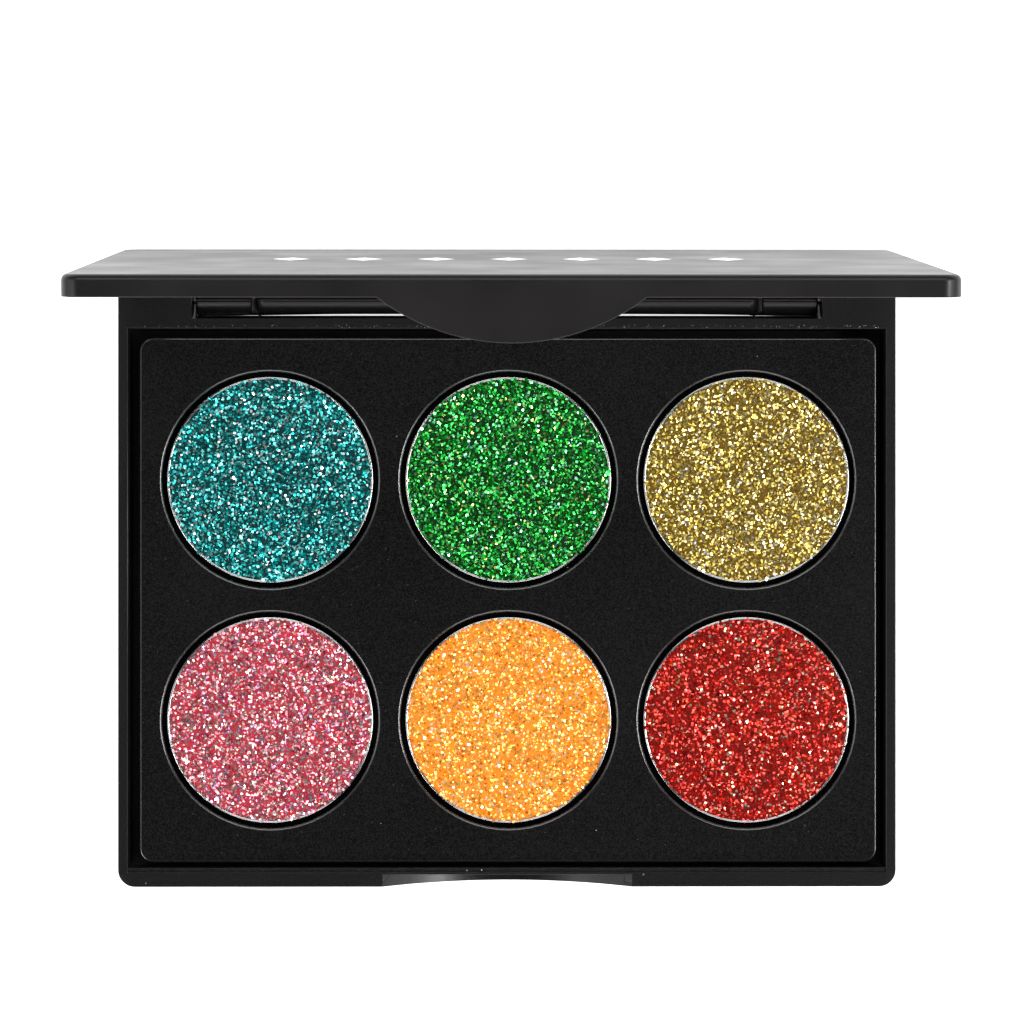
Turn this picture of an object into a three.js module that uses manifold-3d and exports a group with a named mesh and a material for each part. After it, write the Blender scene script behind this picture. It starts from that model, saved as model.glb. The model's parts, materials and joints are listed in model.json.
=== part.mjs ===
// Eyeshadow palette: a black moulded compact with six round pans of pressed glitter and a mirrored lid.
//
// Millimetres, +Z up. The origin is the centre of the tray's underside, +X runs along the hinge,
// -Y points at the user, and the lid is hinged along the rear. The lid's pieces are drawn shut,
// and their group is then turned about the hinge axis to the open angle.

import * as THREE from "three";
import { mergeVertices } from "three/addons/utils/BufferGeometryUtils.js";
import Module from "manifold-3d";

const wasm = await Module();
wasm.setup();

// Driving dimensions.

const SEAT_GAP = 0.05; // between two pieces that rest on each other
const BEYOND = 1; // how far a cutting solid runs past the face it cuts
const FUSE = 0.3; // how far a boss is sunk into the body it is joined to

const TRAY = {
  width: 97.6,
  depth: 77.5,
  height: 9,
  corner: 2.1,
  floor: 1.5,
  sideWall: 1.25,
  frontWall: 2.37,
  rearWall: 1.27,
  ledgeWidth: 0.55, // the front wall's inner edge is stepped down
  ledgeDrop: 0.25,
  rearLip: 0.72, // the floor runs on behind the rear wall by this much, and beside the ears
};

const HINGE = {
  inset: 3.5, // axis to the wall tops, axis to the rear face, and the ears' radius
  earWidth: 9.3,
  wallGap: 0.39, // rear wall to barrel, at the ears
  barrel: 2.29,
  knuckle: 7,
  endPlay: 0.35,
  groove: 0.75, // between a knuckle and the middle rail
  grooveDepth: 1.05,
  bow: 0.39, // the barrel's underside is hollowed by this much at mid-length
  pin: 0.75,
  pinLength: 15,
  pinRecess: 0.3,
  pressGap: 0.05,
  runningGap: 0.1,
  openAngle: 84.25, // as it stands
  fullAngle: 110, // where the lid's inner face meets the ears' slanted backs
};

const LID = {
  thickness: 2.5,
  clearance: 0.1, // over the wall tops when shut
  mirrorWidth: 88,
  mirrorDepth: 62,
  mirrorShift: -2.5, // towards the free edge
  mirrorThickness: 1,
  mirrorCorner: 1.5,
  mirrorSink: 0.15, // below the inner face
  mirrorSideGap: 0.3,
  tapeThickness: 0.2,
  tapeInset: 2,
};

const TAB = { halfWidth: 14.6, drop: 4.95, thickness: 1.3 };

const NOTCH = {
  halfWidth: 15.65,
  drop: 5.3,
  thickness: 1.55,
  scallop: 0.4, // how far the wall below the notch is hollowed in plan
  beadRadius: 0.4,
  beadLength: 4.6,
  beadProud: 0.2,
  beadBelowTop: 2.6,
};

const DECK = {
  width: 92.9,
  depth: 66.1,
  corner: 1.7,
  centre: [0.16, -2.79],
  belowWallTop: 1.6,
  plate: 1.2,
  skirt: 1.2,
  wellRadius: 13.6,
  wellWall: 0.9,
  wellFloor: 1,
};

const PAN = {
  radius: 13,
  height: 4.05,
  sheet: 0.35,
  pitchX: 30,
  pitchY: 30.25,
  sideGap: 0.05,
  glueRadius: 5,
  glueThickness: 0.3,
};

const CAKE = { edgeBelowRim: 0.15, crownAboveRim: 0.2 };

const SHADES = [
  { name: "teal", column: -1, row: 0.5, colour: 0x307876 },
  { name: "green", column: 0, row: 0.5, colour: 0x277631 },
  { name: "gold", column: 1, row: 0.5, colour: 0x9f864a },
  { name: "pink", column: -1, row: -0.5, colour: 0xbe6c76 },
  { name: "orange", column: 0, row: -0.5, colour: 0xfa9f4d },
  { name: "red", column: 1, row: -0.5, colour: 0xa22d21 },
];

// Places worked out from them.

const front = -TRAY.depth / 2;
const rear = TRAY.depth / 2;
const axis = { y: rear - HINGE.inset, z: TRAY.height - HINGE.inset };
const rearWallBack = axis.y - HINGE.barrel - HINGE.wallGap;
const earInside = TRAY.width / 2 - HINGE.earWidth;
const knuckleOutside = earInside - HINGE.endPlay;
const knuckleInside = knuckleOutside - HINGE.knuckle;
const pinOutside = TRAY.width / 2 - HINGE.pinRecess;
const pinInside = pinOutside - HINGE.pinLength;
const lidUnder = TRAY.height + LID.clearance;
const lidTop = lidUnder + LID.thickness;
const mirrorUnder = lidUnder + LID.mirrorSink;
const tapeUnder = mirrorUnder + LID.mirrorThickness + SEAT_GAP;
const recessTop = tapeUnder + LID.tapeThickness + SEAT_GAP;
const deckTop = TRAY.height - DECK.belowWallTop;
const deckUnder = TRAY.floor + SEAT_GAP;
const wellBottom = deckUnder + DECK.wellFloor;
const glueUnder = wellBottom + SEAT_GAP;
const panUnder = glueUnder + PAN.glueThickness + SEAT_GAP;

// Solids.

function toSolid(geometry) {
  const bare = new THREE.BufferGeometry();
  const flat = geometry.index ? geometry.toNonIndexed() : geometry;
  bare.setAttribute("position", flat.getAttribute("position"));
  const merged = mergeVertices(bare, 1e-4);
  return new wasm.Manifold(
    new wasm.Mesh({
      numProp: 3,
      vertProperties: merged.attributes.position.array,
      triVerts: new Uint32Array(merged.index.array),
    }),
  );
}

function toGeometry(solid) {
  const { vertProperties, triVerts } = solid.getMesh();
  const geometry = new THREE.BufferGeometry();
  geometry.setAttribute("position", new THREE.BufferAttribute(vertProperties, 3));
  geometry.setIndex(new THREE.BufferAttribute(triVerts, 1));
  geometry.computeVertexNormals();
  return geometry;
}

function box(x0, x1, y0, y1, z0, z1) {
  const geometry = new THREE.BoxGeometry(x1 - x0, y1 - y0, z1 - z0);
  return toSolid(geometry.translate((x0 + x1) / 2, (y0 + y1) / 2, (z0 + z1) / 2));
}

function extruded(shape, length, arcSteps) {
  return new THREE.ExtrudeGeometry(shape, {
    depth: length,
    bevelEnabled: false,
    curveSegments: arcSteps,
  });
}

/** A plan outline, extruded from z0 up to z1. */
function alongZ(shape, z0, z1, arcSteps = 4) {
  return toSolid(extruded(shape, z1 - z0, arcSteps).translate(0, 0, z0));
}

/** A side outline drawn in Y and Z, extruded from x0 to x1. */
function alongX(shape, x0, x1, arcSteps = 12) {
  const turn = new THREE.Matrix4().makeBasis(
    new THREE.Vector3(0, 1, 0),
    new THREE.Vector3(0, 0, 1),
    new THREE.Vector3(1, 0, 0),
  );
  return toSolid(extruded(shape, x1 - x0, arcSteps).applyMatrix4(turn).translate(x0, 0, 0));
}

/** A front outline drawn in X and Z, extruded from y0 to y1. */
function alongY(shape, y0, y1, arcSteps = 12) {
  return toSolid(extruded(shape, y1 - y0, arcSteps).rotateX(Math.PI / 2).translate(0, y1, 0));
}

/** A profile of radius and height, turned about a vertical line through x, y. */
function turned(profile, x, y, steps = 48) {
  const points = profile.map(([radius, height]) => new THREE.Vector2(radius, height));
  const geometry = new THREE.LatheGeometry(points, steps).rotateX(Math.PI / 2);
  return toSolid(geometry.translate(x, y, 0));
}

// Outlines.

function roundedRectangle(width, depth, radius, centre = [0, 0]) {
  const x = width / 2 - radius;
  const y = depth / 2 - radius;
  const [cx, cy] = centre;
  const shape = new THREE.Shape();
  shape.absarc(cx + x, cy + y, radius, 0, Math.PI / 2);
  shape.absarc(cx - x, cy + y, radius, Math.PI / 2, Math.PI);
  shape.absarc(cx - x, cy - y, radius, Math.PI, (3 * Math.PI) / 2);
  shape.absarc(cx + x, cy - y, radius, (3 * Math.PI) / 2, 2 * Math.PI);
  return shape;
}

function circle(x, y, radius) {
  const shape = new THREE.Shape();
  shape.absarc(x, y, radius, 0, 2 * Math.PI);
  return shape;
}

/** A bowl's section: flat-sided above `level`, and below it an arc `sag` deep. `up` is -1 upside down. */
function bowl(halfWidth, sag, level, height, up = 1) {
  const radius = (halfWidth ** 2 + sag ** 2) / (2 * sag);
  const centre = level + up * (radius - sag);
  const start = Math.atan2(level - centre, -halfWidth);
  const end = Math.atan2(level - centre, halfWidth);
  const shape = new THREE.Shape();
  shape.moveTo(-halfWidth, level + up * height);
  shape.lineTo(-halfWidth, level);
  shape.absarc(0, centre, radius, start, end, up < 0);
  shape.lineTo(halfWidth, level + up * height);
  return shape;
}

// The tray.

/** Side view of the tray: its ears are rounded about the hinge, and slant in below it as the lid's stop. */
function trayProfile() {
  const slant = THREE.MathUtils.degToRad(HINGE.fullAngle - 90);
  const foot = (HINGE.inset - axis.z * Math.sin(slant)) / Math.cos(slant);
  const shape = new THREE.Shape();
  shape.moveTo(front - BEYOND, 0);
  shape.lineTo(axis.y + foot, 0);
  shape.absarc(axis.y, axis.z, HINGE.inset, -slant, Math.PI / 2);
  shape.lineTo(front - BEYOND, TRAY.height);
  return shape;
}

function trayCavity() {
  const x = TRAY.width / 2 - TRAY.sideWall;
  const back = rearWallBack - TRAY.rearWall;
  return box(-x, x, front + TRAY.frontWall, back, TRAY.floor, TRAY.height + BEYOND);
}

function frontLedge() {
  const x = TRAY.width / 2 - TRAY.sideWall;
  const y = front + TRAY.frontWall;
  const z = TRAY.height - TRAY.ledgeDrop;
  return box(-x, x, y - TRAY.ledgeWidth, y + BEYOND, z, TRAY.height + BEYOND);
}

/** The bay behind the rear wall. A lip of the floor stands into it, and turns its front corners. */
function hingeBay() {
  const behindLip = rearWallBack + TRAY.rearLip;
  const besideLip = earInside - TRAY.rearLip;
  const through = [-BEYOND, TRAY.floor + BEYOND];
  const above = [TRAY.floor, TRAY.height + BEYOND];
  return box(-earInside, earInside, rearWallBack, rear + BEYOND, ...above)
    .add(box(-besideLip, besideLip, behindLip, rear + BEYOND, ...through))
    .add(box(-earInside, earInside, axis.y, rear + BEYOND, ...through));
}

/** The lid's tab shuts into this, and a finger reaches under the tab through the scallop below. */
function fingerNotch() {
  const opening = bowl(NOTCH.halfWidth, NOTCH.drop, TRAY.height, BEYOND);
  const scallop = bowl(NOTCH.halfWidth, NOTCH.scallop, front, BEYOND, -1);
  return alongY(opening, front - BEYOND, front + NOTCH.thickness).add(
    alongZ(scallop, -BEYOND, TRAY.height + BEYOND),
  );
}

/** The bead that the tab snaps over, on the thin rim behind the notch. */
function catchBead() {
  const y = front + NOTCH.thickness + NOTCH.beadRadius - NOTCH.beadProud;
  const z = TRAY.height - NOTCH.beadBelowTop;
  const capsule = new THREE.CapsuleGeometry(NOTCH.beadRadius, NOTCH.beadLength, 4, 16);
  return toSolid(capsule.rotateZ(Math.PI / 2).translate(0, y, z));
}

function baseTray() {
  const plan = roundedRectangle(TRAY.width, TRAY.depth, TRAY.corner);
  const side = TRAY.width / 2 + BEYOND;
  const bore = circle(axis.y, axis.z, HINGE.pin + HINGE.pressGap);
  return alongZ(plan, 0, TRAY.height)
    .intersect(alongX(trayProfile(), -side, side))
    .subtract(trayCavity())
    .subtract(frontLedge())
    .subtract(hingeBay())
    .subtract(fingerNotch())
    .subtract(alongX(bore, -side, side))
    .add(catchBead());
}

/** A hinge pin, pressed into an ear from its side. */
function hingePin(side) {
  const ends = [side * pinInside, side * pinOutside].sort((a, b) => a - b);
  return alongX(circle(axis.y, axis.z, HINGE.pin), ...ends);
}

// The deck and what stands in its wells.

function wellCentre(shade) {
  const [x, y] = DECK.centre;
  return [x + shade.column * PAN.pitchX, y + shade.row * PAN.pitchY];
}

/** A thin plate with a skirt and six closed wells, open underneath between them. */
function panDeck() {
  const inner = 2 * DECK.skirt;
  const plan = roundedRectangle(DECK.width, DECK.depth, DECK.corner, DECK.centre);
  const inside = [DECK.width - inner, DECK.depth - inner, DECK.corner / 2, DECK.centre];
  const hollow = alongZ(roundedRectangle(...inside), deckUnder - BEYOND, deckTop - DECK.plate);
  let solid = alongZ(plan, deckUnder, deckTop).subtract(hollow);
  for (const shade of SHADES) {
    const cup = circle(...wellCentre(shade), DECK.wellRadius + DECK.wellWall);
    solid = solid.add(alongZ(cup, deckUnder, deckTop - DECK.plate / 2, 32));
  }
  for (const shade of SHADES) {
    const well = circle(...wellCentre(shade), DECK.wellRadius);
    solid = solid.subtract(alongZ(well, wellBottom, TRAY.height, 32));
  }
  return solid;
}

function glueDot(shade) {
  const dot = circle(...wellCentre(shade), PAN.glueRadius);
  return alongZ(dot, glueUnder, glueUnder + PAN.glueThickness, 12);
}

function tinPan(shade) {
  const inside = PAN.radius - PAN.sheet;
  const rim = panUnder + PAN.height;
  const profile = [
    [0, panUnder],
    [PAN.radius, panUnder],
    [PAN.radius, rim],
    [inside, rim],
    [inside, panUnder + PAN.sheet],
    [0, panUnder + PAN.sheet],
  ];
  return turned(profile, ...wellCentre(shade));
}

/** Pressed glitter: a cake that fills its pan and is slightly crowned. */
function glitterCake(shade) {
  const radius = PAN.radius - PAN.sheet - PAN.sideGap;
  const under = panUnder + PAN.sheet + SEAT_GAP;
  const rim = panUnder + PAN.height;
  const edge = rim - CAKE.edgeBelowRim;
  const crown = CAKE.edgeBelowRim + CAKE.crownAboveRim;
  const profile = [
    [0, under],
    [radius, under],
    [radius, edge],
    [radius * 0.75, edge + crown * 0.6],
    [radius * 0.4, edge + crown * 0.9],
    [0, edge + crown],
  ];
  return turned(profile, ...wellCentre(shade));
}

// The lid, drawn shut.

/** Section of the hinge bar: a barrel about the axis, with a web up to the plate. */
function barrelProfile() {
  const tangent = -Math.acos(HINGE.barrel / HINGE.inset);
  const shape = new THREE.Shape();
  shape.moveTo(axis.y - HINGE.barrel, lidUnder + FUSE);
  shape.absarc(axis.y, axis.z, HINGE.barrel, Math.PI, 2 * Math.PI + tangent);
  shape.lineTo(rear, axis.z);
  shape.lineTo(rear, lidUnder + FUSE);
  return shape;
}

/** A front outline whose top is bowed up by `sag`, almost evenly along its middle. */
function bowed(halfWidth, sag, level, steps = 32) {
  const shape = new THREE.Shape();
  shape.moveTo(-halfWidth, level - BEYOND);
  for (let step = 0; step <= steps; step += 1) {
    const share = (2 * step) / steps - 1;
    shape.lineTo(halfWidth * share, level + sag * (1 - share ** 4));
  }
  shape.lineTo(halfWidth, level - BEYOND);
  return shape;
}

function hingeBar() {
  const bow = bowed(knuckleOutside, HINGE.bow, axis.z - HINGE.barrel);
  return alongX(barrelProfile(), -knuckleOutside, knuckleOutside).subtract(
    alongY(bow, axis.y - 2 * HINGE.barrel, rear + BEYOND),
  );
}

/** Sets a knuckle off from the middle rail, on the side that faces up when the lid is open. */
function knuckleGroove(side) {
  const ends = [side * knuckleInside, side * (knuckleInside - HINGE.groove)].sort((a, b) => a - b);
  const bottom = axis.y - HINGE.barrel + HINGE.grooveDepth;
  return box(...ends, bottom - 2 * HINGE.barrel, bottom, 0, lidUnder);
}

function knuckleBore(side) {
  const bore = circle(axis.y, axis.z, HINGE.pin + HINGE.runningGap);
  const ends = [side * (pinInside - HINGE.runningGap), side * (earInside + BEYOND)];
  return alongX(bore, ...ends.sort((a, b) => a - b));
}

function lidShell() {
  const plan = roundedRectangle(TRAY.width, TRAY.depth, TRAY.corner);
  const gap = 2 * LID.mirrorSideGap;
  const recess = roundedRectangle(
    LID.mirrorWidth + gap,
    LID.mirrorDepth + gap,
    LID.mirrorCorner,
    [0, LID.mirrorShift],
  );
  const tab = bowl(TAB.halfWidth, TAB.drop, lidUnder, FUSE);
  return alongZ(plan, lidUnder, lidTop)
    .add(alongY(tab, front, front + TAB.thickness))
    .add(hingeBar())
    .subtract(knuckleGroove(-1))
    .subtract(knuckleGroove(1))
    .subtract(knuckleBore(-1))
    .subtract(knuckleBore(1))
    .subtract(alongZ(recess, lidUnder - BEYOND, recessTop));
}

function mirrorGlass() {
  const centre = [0, LID.mirrorShift];
  const plan = roundedRectangle(LID.mirrorWidth, LID.mirrorDepth, LID.mirrorCorner, centre);
  return alongZ(plan, mirrorUnder, mirrorUnder + LID.mirrorThickness);
}

function mirrorTape() {
  const x = LID.mirrorWidth / 2 - LID.tapeInset;
  const y = LID.mirrorDepth / 2 - LID.tapeInset;
  const top = tapeUnder + LID.tapeThickness;
  return box(-x, x, LID.mirrorShift - y, LID.mirrorShift + y, tapeUnder, top);
}

// Materials and assembly.

const plastic = new THREE.MeshStandardMaterial({ color: 0x17181a, roughness: 0.42 });
const steel = new THREE.MeshStandardMaterial({ color: 0x9a9c9f, roughness: 0.3, metalness: 1 });
const tin = new THREE.MeshStandardMaterial({ color: 0xd4d6d8, roughness: 0.22, metalness: 1 });
const silvering = new THREE.MeshStandardMaterial({ color: 0xe6eaec, roughness: 0.03, metalness: 1 });
const tape = new THREE.MeshStandardMaterial({ color: 0xe9e6dc, roughness: 0.8 });
const glue = new THREE.MeshStandardMaterial({ color: 0xd8cfb2, roughness: 0.5 });

function glitter(colour) {
  return new THREE.MeshStandardMaterial({ color: colour, roughness: 0.35, metalness: 0.6 });
}

function piece(name, solid, material) {
  const mesh = new THREE.Mesh(toGeometry(solid), material);
  mesh.name = name;
  return mesh;
}

function lidGroup() {
  const shut = new THREE.Group();
  shut.add(piece("lid_shell", lidShell(), plastic));
  shut.add(piece("mirror_tape", mirrorTape(), tape));
  shut.add(piece("mirror", mirrorGlass(), silvering));
  shut.position.set(0, -axis.y, -axis.z);
  const lid = new THREE.Group();
  lid.add(shut);
  lid.position.set(0, axis.y, axis.z);
  lid.rotation.x = -THREE.MathUtils.degToRad(HINGE.openAngle);
  return lid;
}

const palette = new THREE.Group();
palette.add(piece("base_tray", baseTray(), plastic));
palette.add(piece("hinge_pin_left", hingePin(-1), steel));
palette.add(piece("hinge_pin_right", hingePin(1), steel));
palette.add(piece("pan_deck", panDeck(), plastic));
for (const shade of SHADES) {
  palette.add(piece(`glue_dot_${shade.name}`, glueDot(shade), glue));
  palette.add(piece(`pan_${shade.name}`, tinPan(shade), tin));
  palette.add(piece(`glitter_${shade.name}`, glitterCake(shade), glitter(shade.colour)));
}
palette.add(lidGroup());

export default palette;
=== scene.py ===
import json
import math

import bmesh
import bpy
import numpy as np
from mathutils import Matrix, Vector


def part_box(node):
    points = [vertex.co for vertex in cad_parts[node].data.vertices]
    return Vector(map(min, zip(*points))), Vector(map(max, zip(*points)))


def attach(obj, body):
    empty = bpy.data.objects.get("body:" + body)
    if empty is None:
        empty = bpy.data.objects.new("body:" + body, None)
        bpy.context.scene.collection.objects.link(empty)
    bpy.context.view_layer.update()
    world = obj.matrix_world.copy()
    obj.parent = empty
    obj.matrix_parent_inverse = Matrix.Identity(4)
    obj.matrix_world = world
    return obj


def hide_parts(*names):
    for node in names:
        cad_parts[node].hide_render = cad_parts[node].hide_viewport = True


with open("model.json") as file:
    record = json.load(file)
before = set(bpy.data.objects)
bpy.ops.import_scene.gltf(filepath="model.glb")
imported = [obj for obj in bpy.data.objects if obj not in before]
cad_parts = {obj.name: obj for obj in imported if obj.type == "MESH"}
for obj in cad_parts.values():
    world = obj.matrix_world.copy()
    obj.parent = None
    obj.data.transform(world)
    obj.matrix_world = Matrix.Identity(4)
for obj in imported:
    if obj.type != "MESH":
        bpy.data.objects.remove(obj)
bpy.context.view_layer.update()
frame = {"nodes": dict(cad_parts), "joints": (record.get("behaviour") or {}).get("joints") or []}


# Camera. It looks straight down on the open tray from half a metre up, over a point a little to the
# left of the middle, so it sees the standing lid edge-on and its outer face almost along the surface.

tray_low, tray_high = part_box("base_tray")
wall_top = tray_high.z

CAMERA_HEIGHT = 0.503  # over the wall tops
CAMERA_FROM_FRONT = 0.04703
CAMERA_LEFT = 0.00346
CAMERA_LENS = 140.94
AIM_RIGHT = 0.0006

lens = bpy.data.cameras.new("camera")
lens.sensor_width = 36
lens.lens = CAMERA_LENS
lens.clip_start = 0.05
camera = bpy.data.objects.new("camera", lens)
bpy.context.scene.collection.objects.link(camera)
camera.location = (-CAMERA_LEFT, tray_low.y + CAMERA_FROM_FRONT, wall_top + CAMERA_HEIGHT)
camera.rotation_euler = (0, -math.atan((AIM_RIGHT + CAMERA_LEFT) / CAMERA_HEIGHT), 0)
bpy.context.scene.camera = camera


# Base tray. One black injection moulding, with hinge ears at its rear corners and a finger notch in
# its front wall. The mould's spark-eroded face gives it a fine satin grain.

MM = 0.001


class Shade:
    """One output of a material's nodes. Arithmetic on it adds Math nodes to the same material."""

    def __init__(self, finish, socket):
        self.finish = finish
        self.socket = socket

    def _math(self, operation, first, second):
        values = {0: first, 1: second}
        return self.finish.add("ShaderNodeMath", {"operation": operation}, values)

    def __add__(self, other):
        return self._math("ADD", self, other)

    def __radd__(self, other):
        return self._math("ADD", other, self)

    def __sub__(self, other):
        return self._math("SUBTRACT", self, other)

    def __rsub__(self, other):
        return self._math("SUBTRACT", other, self)

    def __mul__(self, other):
        return self._math("MULTIPLY", self, other)

    def __rmul__(self, other):
        return self._math("MULTIPLY", other, self)

    def __lt__(self, other):
        return self._math("LESS_THAN", self, other)

    def __gt__(self, other):
        return self._math("GREATER_THAN", self, other)

    def __abs__(self):
        return self.finish.add("ShaderNodeMath", {"operation": "ABSOLUTE"}, {0: self})


def chosen(sockets, key):
    """A socket by its name, or by its number among those in use."""
    in_use = [socket for socket in sockets if socket.enabled]
    if isinstance(key, int):
        return in_use[key]
    return next(socket for socket in in_use if socket.name == key)


def set_stops(ramp, stops):
    while len(ramp.elements) < len(stops):
        ramp.elements.new(1)
    for element, (position, colour) in zip(ramp.elements, stops):
        element.position = position
        element.color = (*colour, 1)


class Finish:
    """A material or a sky under construction. A material's patterns lie in its object's metres."""

    def __init__(self, owner, place="Object"):
        self.owner = owner
        owner.use_nodes = True
        self.tree = owner.node_tree
        self.tree.nodes.clear()
        self.place = self.add("ShaderNodeTexCoord", result=place)

    def add(self, kind, settings=None, sockets=None, result=0):
        """Makes a node, sets it up, then sets or links its sockets, and returns the asked output,
        if it has any. The settings `stops` and `blend` are those of its colour ramp."""
        node = self.tree.nodes.new(kind)
        for key, value in (settings or {}).items():
            if key == "stops":
                set_stops(node.color_ramp, value)
            elif key == "blend":
                node.color_ramp.interpolation = value
            else:
                setattr(node, key, value)
        for key, value in (sockets or {}).items():
            socket = chosen(node.inputs, key)
            if isinstance(value, Shade):
                self.tree.links.new(value.socket, socket)
            else:
                socket.default_value = value
        return Shade(self, chosen(node.outputs, result)) if node.outputs else None

    def axis(self, letter):
        """One coordinate of the object."""
        return self.add("ShaderNodeSeparateXYZ", None, {0: self.place}, letter)

    def noise(self, cell, detail=2, stretch=None):
        """Smooth noise from 0 to 1 whose lumps are about `cell` metres across."""
        place = self.place if stretch is None else self.stretched(stretch)
        sockets = {"Vector": place, "Scale": 1 / cell, "Detail": detail}
        return self.add("ShaderNodeTexNoise", None, sockets, "Fac")

    def stretched(self, by):
        settings = {"operation": "MULTIPLY"}
        return self.add("ShaderNodeVectorMath", settings, {0: self.place, 1: by}, "Vector")

    def mix(self, factor, low, high, how="MIX"):
        """A colour between `low` and `high`, or another blend of the two."""
        settings = {"data_type": "RGBA", "blend_type": how}
        return self.add("ShaderNodeMix", settings, {"Factor": factor, "A": low, "B": high}, "Result")

    def between(self, value, low, high, to_low=0.0, to_high=1.0):
        """`value` carried from one range to another, and kept inside it."""
        sockets = {0: value, 1: low, 2: high, 3: to_low, 4: to_high}
        return self.add("ShaderNodeMapRange", None, sockets)

    def specks(self, cell, radius, share):
        """A mask of round specks of one radius, in `share` of the cells."""
        sockets = {"Vector": self.place, "Scale": 1 / cell}
        settings = {"feature": "F1"}
        distance = self.add("ShaderNodeTexVoronoi", settings, sockets, "Distance")
        colour = self.add("ShaderNodeTexVoronoi", settings, sockets, "Color")
        pick = self.add("ShaderNodeSeparateColor", None, {0: colour}, "Red")
        return (distance < radius / cell) * (pick < share)

    def bump(self, height, depth, strength=1.0):
        sockets = {"Height": height, "Distance": depth, "Strength": strength}
        return self.add("ShaderNodeBump", None, sockets, "Normal")

    def surface(self, **sockets):
        """Ends the material with a Principled shader, whose sockets are given in words."""
        named = {key.replace("_", " ").title(): value for key, value in sockets.items()}
        if "Ior" in named:
            named["IOR"] = named.pop("Ior")
        shader = self.add("ShaderNodeBsdfPrincipled", None, named, "BSDF")
        self.add("ShaderNodeOutputMaterial", None, {"Surface": shader})
        return self.owner


def new_finish(name):
    return Finish(bpy.data.materials.new(name))


def grey(value):
    return (value, value, value, 1)


def moulded_black(name, base, satin, dust_share):
    """Black moulding compound: satin grain, faint smears and a little settled dust."""
    finish = new_finish(name)
    smear = finish.noise(14 * MM, 4)
    grain = finish.noise(0.2 * MM, 2)
    mottle = finish.between(finish.noise(0.17 * MM, 1), 0.38, 0.66)
    dust = finish.specks(0.9 * MM, 0.055 * MM, dust_share)
    tone = finish.mix(mottle, grey(base * 0.5), grey(base * 3))
    tone = finish.mix(dust, tone, grey(0.055))
    gloss = finish.between(smear, 0.3, 0.7, satin - 0.03, satin) + mottle * 0.05 + dust * 0.4
    relief = finish.bump(grain, 0.006 * MM, 0.6)
    return finish.surface(base_color=tone, roughness=gloss, normal=relief, ior=1.4)


def whole_faces(node, shortest=0.0001 * MM, split=False):
    """A CAD solid's surface with its corners joined and its flat triangles merged. Edges under
    `shortest` are closed up, and `split` cuts hollow-sided faces, which would round badly."""
    form = bmesh.new()
    form.from_mesh(frame["nodes"][node].data)
    bmesh.ops.remove_doubles(form, verts=form.verts, dist=shortest)
    bmesh.ops.dissolve_limit(
        form, angle_limit=math.radians(0.3), verts=form.verts, edges=form.edges
    )
    if split:
        bmesh.ops.connect_verts_concave(form, faces=form.faces)
    return form


CORNER_ANGLE = math.radians(32)  # the facets of a curve turn by less than this
WEIGHT = "bevel_weight_edge"


def size_corners(form, size_at):
    """Sets each outward corner's rounding from its middle, and keeps the inward corners sharp."""
    weight = form.edges.layers.float.new(WEIGHT)
    sizes = {}
    for edge in form.edges:
        turn = edge.calc_face_angle_signed(0)
        if turn > CORNER_ANGLE:
            sizes[edge] = size_at((edge.verts[0].co + edge.verts[1].co) / 2)
        elif turn < -CORNER_ANGLE:
            edge.smooth = False
    largest = max(sizes.values())
    for edge, size in sizes.items():
        edge[weight] = size / largest
    return largest


def shown(name, form, *materials):
    """Turns a bmesh into an object with smooth shading and its materials."""
    mesh = bpy.data.meshes.new(name)
    for face in form.faces:
        face.smooth = True
    form.to_mesh(mesh)
    form.free()
    for material in materials:
        mesh.materials.append(material)
    piece = bpy.data.objects.new(name, mesh)
    bpy.context.scene.collection.objects.link(piece)
    return piece


def moulding(name, node, size_at, *materials, steps=4, **joining):
    """A copy of a CAD solid with its corners rounded."""
    form = whole_faces(node, **joining)
    largest = size_corners(form, size_at)
    piece = shown(name, form, *materials)
    bevel = piece.modifiers.new("rounding", "BEVEL")
    bevel.width = largest
    bevel.segments = steps
    bevel.limit_method = "WEIGHT"
    bevel.use_clamp_overlap = False
    normals = piece.modifiers.new("even_normals", "WEIGHTED_NORMAL")
    normals.keep_sharp = True
    return piece


TRAY_CORNER = 0.12 * MM
FRONT_CORNER = 0.06 * MM
FRONT_ZONE = 2.5 * MM  # the front wall's corners lie within this of its face
STEP_FROM_FRONT = 1.6 * MM
STEP_ZONE = 1 * MM  # the step's corners lie within this of the top of the wall
NOTCH_HALF = 15.7 * MM
SHORTEST_EDGE = 0.07 * MM


def tray_corner(at):
    """The step and the notch of the front wall have crisper corners than the rest."""
    from_front = at.y - tray_low.y
    on_step = from_front > STEP_FROM_FRONT and at.z > wall_top - STEP_ZONE
    if from_front < FRONT_ZONE and (on_step or abs(at.x) < NOTCH_HALF):
        return FRONT_CORNER
    return TRAY_CORNER


tray_black = moulded_black("tray_black", base=0.0035, satin=0.3, dust_share=0.3)
tray = moulding("tray", "base_tray", tray_corner, tray_black, shortest=SHORTEST_EDGE, split=True)
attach(tray, "base")
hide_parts("base_tray")


# Hinge pins. Two steel pins of drawn wire, pressed into the ears from outside; the lid's knuckles
# turn on their inner ends.

def drawn_wire():
    finish = new_finish("drawn_wire")
    lines = finish.noise(0.08 * MM, 2, stretch=(0.04, 1, 1))
    tone = finish.mix(lines, grey(0.34), grey(0.52))
    gloss = finish.between(lines, 0.3, 0.7, 0.24, 0.4)
    relief = finish.bump(lines, 0.004 * MM)
    return finish.surface(base_color=tone, metallic=1.0, roughness=gloss, normal=relief)


pin_steel = drawn_wire()
PIN_CHAMFER = 0.12 * MM

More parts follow.
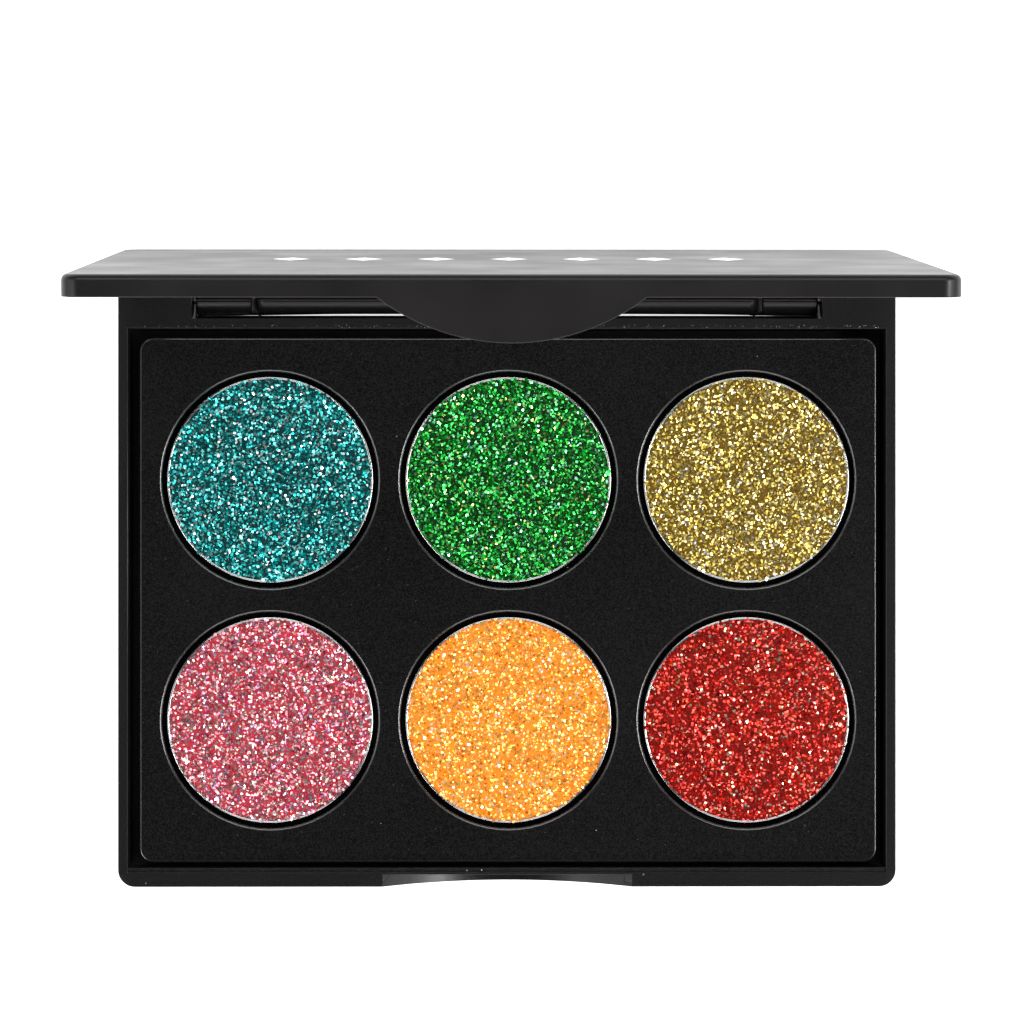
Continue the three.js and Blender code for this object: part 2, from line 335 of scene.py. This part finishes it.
for side in ("left", "right"):
    node = f"hinge_pin_{side}"
    pin = moulding(f"pin_{side}", node, lambda at: PIN_CHAMFER, pin_steel, steps=2)
    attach(pin, "base")
    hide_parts(node)


# Deck. A second black moulding, dropped into the tray with a gap all round, with six closed wells.
# Its top has the tray's satin grain, its rounded edges are glossier and carry a painted highlight
# from a lighter tone and a raised reflectance, and its wells' walls are polished.

SHADES = ("teal", "green", "gold", "pink", "orange", "red")
DECK_CORNER = 0.32 * MM
SKIRT_CORNER = 0.1 * MM
WELL_RADIUS = 13.6 * MM
deck_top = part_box("pan_deck")[1].z


def polished_black():
    finish = new_finish("polished_black")
    streaks = finish.noise(0.6 * MM, 3, stretch=(1, 1, 0.2))
    tone = finish.mix(streaks, grey(0.008), grey(0.014))
    gloss = finish.between(streaks, 0.3, 0.7, 0.1, 0.22)
    relief = finish.bump(streaks, 0.004 * MM)
    return finish.surface(base_color=tone, roughness=gloss, normal=relief, ior=1.5)


def edge_highlight_black():
    """The rounded edges: glossier than the flat top, with a lighter tone and a raised reflectance that
    paint a brighter highlight.
    """
    finish = new_finish("edge_highlight_black")
    edge_variation = finish.noise(0.5 * MM, 3)
    tone = finish.mix(edge_variation, grey(0.006), grey(0.012))
    gloss = finish.between(edge_variation, 0.3, 0.7, 0.16, 0.26)
    relief = finish.bump(edge_variation, 0.002 * MM)
    return finish.surface(base_color=tone, roughness=gloss, normal=relief, ior=1.85)


def middle(node):
    low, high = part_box(node)
    return (low + high) / 2


pan_centres = {shade: middle(f"pan_{shade}") for shade in SHADES}


def deck_corner(at):
    return DECK_CORNER if at.z > deck_top - MM / 10 else SKIRT_CORNER


deck_black = moulded_black("deck_black", base=0.002, satin=0.27, dust_share=0.4)
deck = moulding("deck", "pan_deck", deck_corner, deck_black, polished_black(), edge_highlight_black())
POLISHED_SLOT = 1
EDGE_HIGHLIGHT_SLOT = 2
# The rounded edges get the edge material, whose lighter tone and raised reflectance are a painted
# highlight.
deck.modifiers["rounding"].material = EDGE_HIGHLIGHT_SLOT
for face in deck.data.polygons:
    from_wells = min((face.center - c).xy.length for c in pan_centres.values())
    upright = abs(face.normal.z) < 0.5
    if upright and from_wells < WELL_RADIUS + 0.1 * MM:
        face.material_index = POLISHED_SLOT
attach(deck, "base")
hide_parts("pan_deck")


# Glue. A flat dot of set hot-melt adhesive holds each pan to the floor of its well. The pan hides it,
# so the CAD's dot stays and only gets its material.

def set_glue():
    finish = new_finish("set_glue")
    cloud = finish.noise(1.5 * MM, 3)
    tone = finish.mix(cloud, (0.60, 0.52, 0.33, 1), (0.78, 0.72, 0.55, 1))
    relief = finish.bump(cloud, 0.08 * MM)
    return finish.surface(base_color=tone, roughness=0.45, normal=relief)


def dress(node, material):
    """Gives a CAD solid its material."""
    materials = frame["nodes"][node].data.materials
    materials.clear()
    materials.append(material)


glue = set_glue()
for shade in SHADES:
    dress(f"glue_dot_{shade}", glue)


# Pans. Shallow cups drawn from bright tinplate, 26 mm across, with a rounded rim. Drawing leaves
# fine lines round them.

PAN_SHEET = 0.35 * MM
PAN_FOOT = 0.6 * MM  # the bend between floor and wall
PAN_STEPS = 128


def bright_tin():
    finish = new_finish("bright_tin")
    mottle = finish.noise(0.35 * MM, 3)
    rings = finish.noise(0.09 * MM, 2, stretch=(0.15, 0.15, 1))
    tone = finish.mix(mottle, grey(0.42), grey(0.62))
    gloss = finish.between(mottle, 0.3, 0.7, 0.12, 0.2)
    relief = finish.bump(rings, 0.0008 * MM)
    return finish.surface(base_color=tone, metallic=1.0, roughness=gloss, normal=relief)


def turned(profile, centre, steps):
    """A solid of revolution from a profile of (radius, height) that starts and ends on the axis."""
    form = bmesh.new()
    turns = [2 * math.pi * step / steps for step in range(steps)]
    rows = []
    for radius, height in profile:
        if radius == 0:
            rows.append([form.verts.new((centre.x, centre.y, height))] * steps)
            continue
        around = [(centre.x + radius * math.cos(t), centre.y + radius * math.sin(t)) for t in turns]
        rows.append([form.verts.new((x, y, height)) for x, y in around])
    for low, high in zip(rows, rows[1:]):
        for step in range(steps):
            after = (step + 1) % steps
            corners = dict.fromkeys([low[step], low[after], high[after], high[step]])
            form.faces.new(list(corners))
    return form


def arc(centre_radius, centre_height, size, start, end, steps):
    """Points of a profile on an arc, with its angles in degrees from the outward direction."""
    angles = [math.radians(start + (end - start) * step / steps) for step in range(steps + 1)]
    return [
        (centre_radius + size * math.cos(a), centre_height + size * math.sin(a)) for a in angles
    ]


def pan_profile(low, high):
    outside = (high.x - low.x) / 2
    half = PAN_SHEET / 2
    return [
        (0, low.z),
        *arc(outside - PAN_FOOT, low.z + PAN_FOOT, PAN_FOOT, -90, 0, 6),
        *arc(outside - half, high.z - half, half, 0, 180, 10),
        (outside - PAN_SHEET, low.z + PAN_FOOT),
        (outside - PAN_SHEET - PAN_FOOT, low.z + PAN_SHEET),
        (0, low.z + PAN_SHEET),
    ]


tin = bright_tin()
for shade in SHADES:
    form = turned(pan_profile(*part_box(f"pan_{shade}")), pan_centres[shade], PAN_STEPS)
    cup = shown(f"cup_{shade}", form, tin)
    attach(cup, "base")
    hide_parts(f"pan_{shade}")


# Glitter. Each pan is filled with hexagonal flakes of metallised film, cut at about a third of a
# millimetre and pressed with a little binder. The flakes lie at all angles. The binder between them
# is coloured dark, partly its own colour and partly painted shade in the gaps, and broad random
# patches of painted shade darken the films.

FLAKE_THICKNESS = 0.02 * MM
FLAKE_CORNERS = 6
FLAKE_SIZES = (0.75, 1.2)  # as a share of a layer's usual size
FLAKE_RAGGEDNESS = (0.82, 1.12)  # of a corner's distance from the middle
STEEPEST_TILT = math.radians(60)
HEXAGONAL_ROW = 0.866  # spacing of the rows, as a share of the spacing in a row
USUAL_SPILL = 0.1 * MM
LARGEST_SPILL = 0.26 * MM
CAKE_CROWN = 0.35 * MM
CAKE_STEPS = 96
DOME_STEPS = 14
BINDER_AND_GAP_SHADE_PICK = 0.0  # the place on each shade's ramp of the binder and its painted gap shade
FIRST_FLAKE_PICK = 0.02

# Each shade's spacing of flakes, how dark the painted shade of its hollows is, its binder's colour,
# which is darkened as painted shade in the gaps between the flakes, and the share and colour of each
# kind of flake. The orange film also gets a weak glow, which is painted light that brightens it.
RECIPES = {
    "teal": {
        "pitch": 0.36 * MM,
        "painted_hollow_shade": 0.7,
        "binder_and_gap_shade": (0.0, 0.032, 0.034),
        "flakes": [(0.5, (0.01, 0.70, 0.67)), (0.26, (0.22, 0.94, 0.92)), (0.12, (0.0, 0.26, 0.28)),
                   (0.12, (0.85, 1.0, 0.98))],
    },
    "green": {
        "pitch": 0.355 * MM,
        "painted_hollow_shade": 0.7,
        "binder_and_gap_shade": (0.0, 0.026, 0.002),
        "flakes": [(0.56, (0.01, 0.70, 0.05)), (0.2, (0.10, 0.96, 0.24)), (0.13, (0.0, 0.25, 0.01)),
                   (0.06, (0.78, 0.97, 0.24)), (0.05, (0.45, 0.98, 0.80))],
    },
    "gold": {
        "pitch": 0.345 * MM,
        "painted_hollow_shade": 0.85,
        "binder_and_gap_shade": (0.14, 0.078, 0.005),
        "flakes": [(0.56, (0.92, 0.67, 0.12)), (0.25, (0.98, 0.85, 0.34)), (0.09, (0.60, 0.38, 0.04)),
                   (0.098, (1.0, 0.98, 0.82)), (0.002, (0.70, 0.05, 0.02))],
    },
    "pink": {
        "pitch": 0.345 * MM,
        "painted_hollow_shade": 0.68,
        "binder_and_gap_shade": (0.48, 0.028, 0.048),
        "flakes": [(0.44, (1.0, 0.38, 0.43)), (0.24, (1.0, 0.68, 0.68)), (0.08, (0.80, 0.09, 0.15)),
                   (0.07, (0.90, 0.42, 0.90)), (0.08, (1.0, 0.86, 0.62)), (0.03, (0.40, 0.58, 0.95)),
                   (0.06, (1.0, 0.94, 0.94))],
    },
    "orange": {
        "pitch": 0.32 * MM,
        "painted_hollow_shade": 0.85,
        "binder_and_gap_shade": (1.0, 0.22, 0.010),
        # painted light: a weak glow that makes the orange film brighter
        "glow": 0.3,
        "flakes": [(0.5, (1.0, 0.42, 0.06)), (0.26, (1.0, 0.56, 0.14)), (0.1, (1.0, 0.27, 0.02)),
                   (0.1, (1.0, 0.78, 0.36)), (0.04, (1.0, 0.95, 0.82))],
    },
    "red": {
        "pitch": 0.32 * MM,
        "painted_hollow_shade": 0.68,
        "binder_and_gap_shade": (0.20, 0.001, 0.0),
        "flakes": [(0.58, (0.96, 0.022, 0.008)), (0.22, (1.0, 0.08, 0.026)), (0.12, (0.55, 0.005, 0.002)),
                   (0.08, (1.0, 0.74, 0.52))],
    },
}


def flake_film(name, recipe):
    """Metallised film. A flake's own pick chooses its colour; the binder's pick is the lowest, and its
    dark colour is partly painted gap shade.
    """
    finish = new_finish(name)
    pick = finish.add("ShaderNodeAttribute", {"attribute_name": "pick"}, result="Fac")
    # The binder's colour is a dark version of the shade's: partly its own colour, partly painted shade in
    # the gaps between the flakes.
    stops = [(BINDER_AND_GAP_SHADE_PICK, recipe["binder_and_gap_shade"])]
    reached = FIRST_FLAKE_PICK
    for share, colour in recipe["flakes"]:
        stops.append((reached, colour))
        reached += share * (1 - FIRST_FLAKE_PICK)
    ramp = {"stops": stops, "blend": "CONSTANT"}
    tone = finish.add("ShaderNodeValToRGB", ramp, {"Fac": pick}, "Color")
    # Painted shade: broad random patches darken the film's colour, standing for the shade in hollows of
    # the cake's top.
    painted_hollow_shade = finish.between(finish.noise(1.3 * MM, 3), 0.38, 0.6, recipe["painted_hollow_shade"], 1.0)
    tone = finish.mix(1.0, tone, painted_hollow_shade, "MULTIPLY")
    is_flake = pick > FIRST_FLAKE_PICK / 2
    creases = finish.noise(0.1 * MM, 2)
    gloss = finish.between(creases, 0.3, 0.7, 0.2, 0.34)
    # The emission is painted light: it makes a film brighter than the lamps alone would.
    return finish.surface(
        base_color=tone,
        metallic=is_flake,
        roughness=gloss,
        coat_weight=1.0,
        coat_roughness=0.12,
        emission_color=tone,
        emission_strength=recipe.get("glow", 0.0),
    )


films = {shade: flake_film(f"film_{shade}", RECIPES[shade]) for shade in SHADES}


def flake_solids(centres, radii, tilts, random):
    """Corners and faces of thin hexagonal plates, each tilted its own way about its centre."""
    count = len(centres)
    corner = np.arange(FLAKE_CORNERS) * 2 * math.pi / FLAKE_CORNERS
    spin = random.uniform(0, math.pi, (count, 1))
    reach = radii[:, None] * random.uniform(*FLAKE_RAGGEDNESS, (count, FLAKE_CORNERS))
    x, y = reach * np.cos(corner + spin), reach * np.sin(corner + spin)
    heading = random.uniform(0, 2 * math.pi, (count, 1))
    tilt = tilts[:, None]
    across = x * np.cos(heading) + y * np.sin(heading)
    outline = np.stack([x, y, np.zeros_like(x)], 2)
    lift = np.concatenate([np.cos(heading), np.sin(heading)], 1)[:, None, :]
    outline[..., :2] += lift * (across * (np.cos(tilt) - 1))[..., None]
    outline[..., 2] = -across * np.sin(tilt)
    normal = np.concatenate(
        [np.sin(tilt) * np.cos(heading), np.sin(tilt) * np.sin(heading), np.cos(tilt)], 1
    )[:, None, :]
    top = centres[:, None, :] + outline + normal * FLAKE_THICKNESS / 2
    bottom = top - normal * FLAKE_THICKNESS
    points = np.concatenate([top, bottom], 1).reshape(-1, 3)
    ring = list(range(FLAKE_CORNERS))
    sides = [
        [a, a + FLAKE_CORNERS, (a + 1) % FLAKE_CORNERS + FLAKE_CORNERS, (a + 1) % FLAKE_CORNERS]
        for a in ring
    ]
    plate = [ring, [a + FLAKE_CORNERS for a in reversed(ring)], *sides]
    firsts = [number * 2 * FLAKE_CORNERS for number in range(count)]
    return points, [[first + a for a in side] for first in firsts for side in plate]


def film_piece(name, shade, points, faces, picks):
    """An object of one shade's film, with each face's pick."""
    mesh = bpy.data.meshes.new(name)
    mesh.from_pydata(points, [], faces)
    attribute = mesh.attributes.new("pick", "FLOAT", "FACE")
    attribute.data.foreach_set("value", np.array(picks, np.float32))
    mesh.materials.append(films[shade])
    piece = bpy.data.objects.new(name, mesh)
    bpy.context.scene.collection.objects.link(piece)
    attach(piece, "base")
    return piece


def scattered(centre, reach, pitch, random):
    """Points over a disc, on a loose hexagonal grid. A few spill over its edge."""
    rows = int(reach / (pitch * HEXAGONAL_ROW)) + 1
    columns = int(reach / pitch) + 1
    row, column = np.meshgrid(np.arange(-rows, rows + 1), np.arange(-columns, columns + 1))
    x = (column + 0.5 * (row % 2)) * pitch
    y = row * pitch * HEXAGONAL_ROW
    points = np.stack([x.ravel(), y.ravel()], 1)
    points += random.uniform(-0.5, 0.5, points.shape) * pitch
    spill = np.minimum(random.exponential(USUAL_SPILL, len(points)), LARGEST_SPILL)
    points = points[np.hypot(*points.T) < reach + spill]
    return points + np.array(centre.xy)


def crown_height(points, centre, low, high, rim):
    """The crowned top of a cake over points in plan. What has spilled over lies on the rim."""
    radius = (high.x - low.x) / 2
    share = np.hypot(*(points - np.array(centre.xy)).T) / radius
    edge = high.z - CAKE_CROWN
    crown = edge + CAKE_CROWN * (1 - np.clip(share, 0, 1) ** 2)
    return np.where(share > 1, rim, crown)


def cake_profile(low, high):
    radius = (high.x - low.x) / 2
    edge = high.z - CAKE_CROWN
    inward = [1 - step / DOME_STEPS for step in range(DOME_STEPS + 1)]
    dome = [(radius * share, edge + CAKE_CROWN * (1 - share**2)) for share in inward]
    return [(0, low.z), (radius, low.z), *dome]


def layers(pitch):
    """Large flakes that lie nearly flat, and fine ones on top that stand more steeply: spacing,
    size as a share of it, usual tilt in degrees, scatter in height, and height over the cake."""
    return [
        (pitch, 0.6, 15, 0.03 * MM, -0.02 * MM),
        (0.5 * MM, 0.36, 30, 0.05 * MM, 0.05 * MM),
    ]


def cake(shade, random):
    """Points, faces and picks of a cake: its body, and the flakes over its top."""
    low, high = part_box(f"glitter_{shade}")
    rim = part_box(f"pan_{shade}")[1].z
    centre = pan_centres[shade]
    body = turned(cake_profile(low, high), centre, CAKE_STEPS)
    body.verts.index_update()
    points = [tuple(vertex.co) for vertex in body.verts]
    faces = [[vertex.index for vertex in face.verts] for face in body.faces]
    body.free()
    picks = [BINDER_AND_GAP_SHADE_PICK] * len(faces)
    for pitch, size, lean, spread, lift in layers(RECIPES[shade]["pitch"]):
        plan = scattered(centre, (high.x - low.x) / 2, pitch, random)
        count = len(plan)
        height = crown_height(plan, centre, low, high, rim) + lift + random.normal(0, spread, count)
        tilts = np.abs(random.normal(0, math.radians(lean), count))
        tilts = np.minimum(tilts, STEEPEST_TILT)
        radii = pitch * size * random.uniform(*FLAKE_SIZES, count)
        corners, sides = flake_solids(np.column_stack([plan, height]), radii, tilts, random)
        start = len(points)
        points.extend(map(tuple, corners))
        faces.extend([[start + a for a in side] for side in sides])
        flake_picks = random.uniform(FIRST_FLAKE_PICK, 1, count)
        picks.extend(np.repeat(flake_picks, len(sides) // count))
    return points, faces, picks


for seed, shade in enumerate(SHADES):
    piece = film_piece(f"cake_{shade}", shade, *cake(shade, np.random.default_rng(seed)))
    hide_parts(f"glitter_{shade}")


# Stray flakes. A few have come off the cakes and lie on the front wall and the deck, and fine ones
# have settled along the inner edge of the rear wall. Nothing holds them.

STEP_DEPTH = 0.25 * MM
step_top = wall_top - STEP_DEPTH
STRAYS = {  # each flake's place in plan and its radius, in millimetres, and what it lies on
    "teal": [
        (-5.05, -36.7, 0.12, step_top),
        (-19.3, 12.4, 0.08, deck_top),
        (-26.0, 0.2, 0.07, deck_top),
    ],
    "green": [(-13.9, 17.8, 0.09, deck_top), (7.6, 1.3, 0.08, deck_top)],
    "gold": [(17.1, -37.2, 0.13, wall_top), (31.5, 27.9, 0.07, deck_top)],
    "pink": [(-43.6, -20.2, 0.08, deck_top), (-15.9, -30.9, 0.08, deck_top)],
    "orange": [(-3.2, -36.65, 0.1, step_top), (11.2, -31.8, 0.07, deck_top)],
    "red": [(-45.3, -38.3, 0.11, wall_top), (37.5, -31.2, 0.08, deck_top)],
}
STRAY_SEED = 100
STRAY_TILT = math.radians(8)
STRAY_PICKS = (0.9, 1)  # mostly the palest kinds
SETTLED_SHADE = "teal"
SETTLED_COUNT = 170
SETTLED_END_GAP = 2 * MM
SETTLED_BACK = (31.35 * MM, 31.75 * MM)  # from the middle of the tray to the rear wall's inner edge
SETTLED_RADIUS = (0.03 * MM, 0.07 * MM)


def settled(random):
    """Fine flakes along the rear wall."""
    ends = (tray_low.x + SETTLED_END_GAP, tray_high.x - SETTLED_END_GAP)
    along = random.uniform(*ends, SETTLED_COUNT)
    back = random.uniform(*SETTLED_BACK, SETTLED_COUNT)
    radii = random.uniform(*SETTLED_RADIUS, SETTLED_COUNT)
    return list(zip(along, back, radii, [wall_top] * SETTLED_COUNT))


for seed, shade in enumerate(SHADES):
    random = np.random.default_rng(STRAY_SEED + seed)
    spots = [(x * MM, y * MM, radius * MM, z) for x, y, radius, z in STRAYS[shade]]
    if shade == SETTLED_SHADE:
        spots.extend(settled(random))
    x, y, radii, z = np.array(spots).T
    centres = np.column_stack([x, y, z + FLAKE_THICKNESS])
    tilts = random.uniform(0, STRAY_TILT, len(spots))
    points, faces = flake_solids(centres, radii, tilts, random)
    picks = np.repeat(random.uniform(*STRAY_PICKS, len(spots)), len(faces) // len(spots))
    film_piece(f"strays_{shade}", shade, points.tolist(), faces, picks)


# Lid. The second large moulding: a flat plate with a tab that shuts into the finger notch, and a
# hinge bar of two knuckles and a middle rail. Its outer face carries a foil-stamped row of lozenges.

joint = frame["joints"][0]
open_angle = math.radians(-joint["range_deg"][0])
hinge = Vector(joint["pos_m"])
shutting = Matrix.Rotation(open_angle, 3, "X")


def shut(at):
    """Where a point of the standing lid lies when the lid is shut."""
    return hinge + shutting @ (at - hinge)


LID_CORNER = 0.7 * MM
RIM_CORNER = 0.12 * MM
BAR_CORNER = 0.3 * MM
BAR_REACH = 6 * MM  # in front of the hinge's axis
RAIL_HALF = 31.4 * MM
RAIL_END_CORNER = 0.8 * MM
LID_OUTER_FACE = 11.6 * MM  # above the underside of the tray, when shut


def lid_corner(at):
    """Soft corners round the outer face, crisp ones on the rim and the tab, and the bar's own."""
    flat = shut(at)
    if flat.z > LID_OUTER_FACE - MM / 10:
        return LID_CORNER
    if flat.z > wall_top or flat.y < hinge.y - BAR_REACH:
        return RIM_CORNER
    if abs(abs(at.x) - RAIL_HALF) < MM / 10:
        return RAIL_END_CORNER
    return BAR_CORNER


LOZENGE_PITCH = 8.6 * MM
LOZENGE_COUNT = 7
LOZENGE_HALF = (2.2 * MM, 4.5 * MM)
LOZENGES_FROM_HINGE = 30 * MM
FOIL_DEPTH = 1.5 * MM  # the pattern stops this far under the outer face
row_middle = hinge + shutting.inverted() @ Vector(
    (0, -LOZENGES_FROM_HINGE, LID_OUTER_FACE - hinge.z)
)


def lozenges(finish):
    """A mask of a row of lozenges on the outer face only."""
    sideways = finish.axis("X")
    half = LOZENGE_PITCH / 2
    cell = finish.add("ShaderNodeMath", {"operation": "WRAP"}, {0: sideways, 1: half, 2: -half})
    across = abs(cell) * (1 / LOZENGE_HALF[0])
    along = abs(finish.axis("Z") - row_middle.z) * (1 / LOZENGE_HALF[1])
    in_row = abs(sideways) < half * LOZENGE_COUNT
    outside = finish.axis("Y") > row_middle.y - FOIL_DEPTH
    return (across + along < 1) * in_row * outside


def lid_black():
    """The tray's black, with lozenges of white foil across the middle of the outer face."""
    finish = new_finish("lid_black")
    smear = finish.noise(12 * MM, 3)
    grain = finish.noise(0.22 * MM, 2)
    dust = finish.specks(2.1 * MM, 0.05 * MM, 0.08)
    tone = finish.mix(smear, (0.0055, 0.0048, 0.0048, 1), (0.0085, 0.0072, 0.0072, 1))
    tone = finish.mix(dust, tone, grey(0.2))
    foil = lozenges(finish)
    tone = finish.mix(foil, tone, grey(0.93))
    gloss = finish.between(smear, 0.3, 0.7, 0.32, 0.42) - foil * 0.1
    relief = finish.bump(grain, 0.006 * MM, 0.4)
    return finish.surface(
        base_color=tone, metallic=foil, roughness=gloss, normal=relief, ior=1.38
    )


lid = moulding("lid", "lid_shell", lid_corner, lid_black())
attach(lid, "lid")
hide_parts("lid_shell")


# Mirror tape. A thin double-sided foam tape that holds the mirror to the floor of its recess in the
# lid. The mirror hides it, so the CAD's tape stays and only gets its material.

def foam_tape():
    finish = new_finish("foam_tape")
    pores = finish.noise(0.2 * MM, 3)
    tone = finish.mix(pores, (0.62, 0.60, 0.54, 1), (0.80, 0.78, 0.72, 1))
    relief = finish.bump(pores, 0.03 * MM)
    return finish.surface(base_color=tone, roughness=0.85, normal=relief)


dress("mirror_tape", foam_tape())


# Mirror. A plate of silvered glass with ground edges, let into the inner face of the lid and held by
# the tape behind it.

GROUND_EDGE = 0.2 * MM


def silvered_glass():
    finish = new_finish("silvered_glass")
    breath = finish.noise(14 * MM, 3)
    wipe = finish.noise(2 * MM, 3, stretch=(0.2, 1, 1))
    tone = finish.mix(breath, (0.84, 0.88, 0.88, 1), (0.90, 0.93, 0.93, 1))
    gloss = finish.between(breath * 0.6 + wipe * 0.4, 0.35, 0.75, 0.012, 0.06)
    return finish.surface(base_color=tone, metallic=1.0, roughness=gloss)


mirror = moulding("looking_glass", "mirror", lambda at: GROUND_EDGE, silvered_glass(), steps=1)
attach(mirror, "lid")
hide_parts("mirror")


# Studio. A white light table, softboxes all round, a narrow bright strip at each side that draws the
# edges, and a sky that is pale only near the horizon.

TABLE_GLOW = 0.8
TABLE_SIZE = 8
LIGHT_DISTANCE = 1.15


def light_table():
    form = bmesh.new()
    bmesh.ops.create_grid(form, x_segments=1, y_segments=1, size=TABLE_SIZE)
    finish = new_finish("light_table")
    cloud = finish.noise(0.4, 2)
    tone = finish.mix(cloud, grey(0.86), grey(0.88))
    surface = finish.surface(
        base_color=tone, roughness=0.9, emission_color=grey(1.0), emission_strength=TABLE_GLOW
    )
    shown("table", form, surface)


def softbox(name, turn, lean, size, glow):
    """A rectangular light that faces the palette from `lean` degrees off the vertical, in the
    direction `turn` degrees round from the right. Its size is in metres."""
    around, off = math.radians(turn), math.radians(lean)
    way = Vector((math.sin(off) * math.cos(around), math.sin(off) * math.sin(around), math.cos(off)))
    light = bpy.data.lights.new(name, "AREA")
    light.shape = "RECTANGLE"
    light.size, light.size_y = size
    light.energy = glow * math.pi * size[0] * size[1]
    lamp = bpy.data.objects.new(name, light)
    bpy.context.scene.collection.objects.link(lamp)
    lamp.location = way * LIGHT_DISTANCE
    lamp.rotation_euler = (-way).to_track_quat("-Z", "Y").to_euler()


def studio_sky():
    sky = Finish(bpy.data.worlds.new("studio"), "Generated")
    stops = [(0.05, (0.9, 0.9, 0.9)), (0.5, (0.04, 0.04, 0.04))]
    tone = sky.add("ShaderNodeValToRGB", {"stops": stops}, {"Fac": sky.axis("Z")}, "Color")
    light = sky.add("ShaderNodeBackground", None, {"Color": tone})
    sky.add("ShaderNodeOutputWorld", None, {"Surface": light})
    return sky.owner


light_table()
softbox("box_left", 185, 54, (0.85, 0.8), 1.9)
softbox("box_right", -8, 52, (0.85, 0.8), 2.4)
softbox("box_front", -90, 46, (1.0, 0.4), 4.2)
softbox("box_rear", 90, 27, (0.9, 0.4), 3.6)
softbox("strip_left", 212, 40, (0.4, 0.12), 17.0)
softbox("strip_right", -5, 38, (0.4, 0.12), 34.0)
bpy.context.scene.world = studio_sky()
bpy.context.scene.view_settings.view_transform = "Standard"
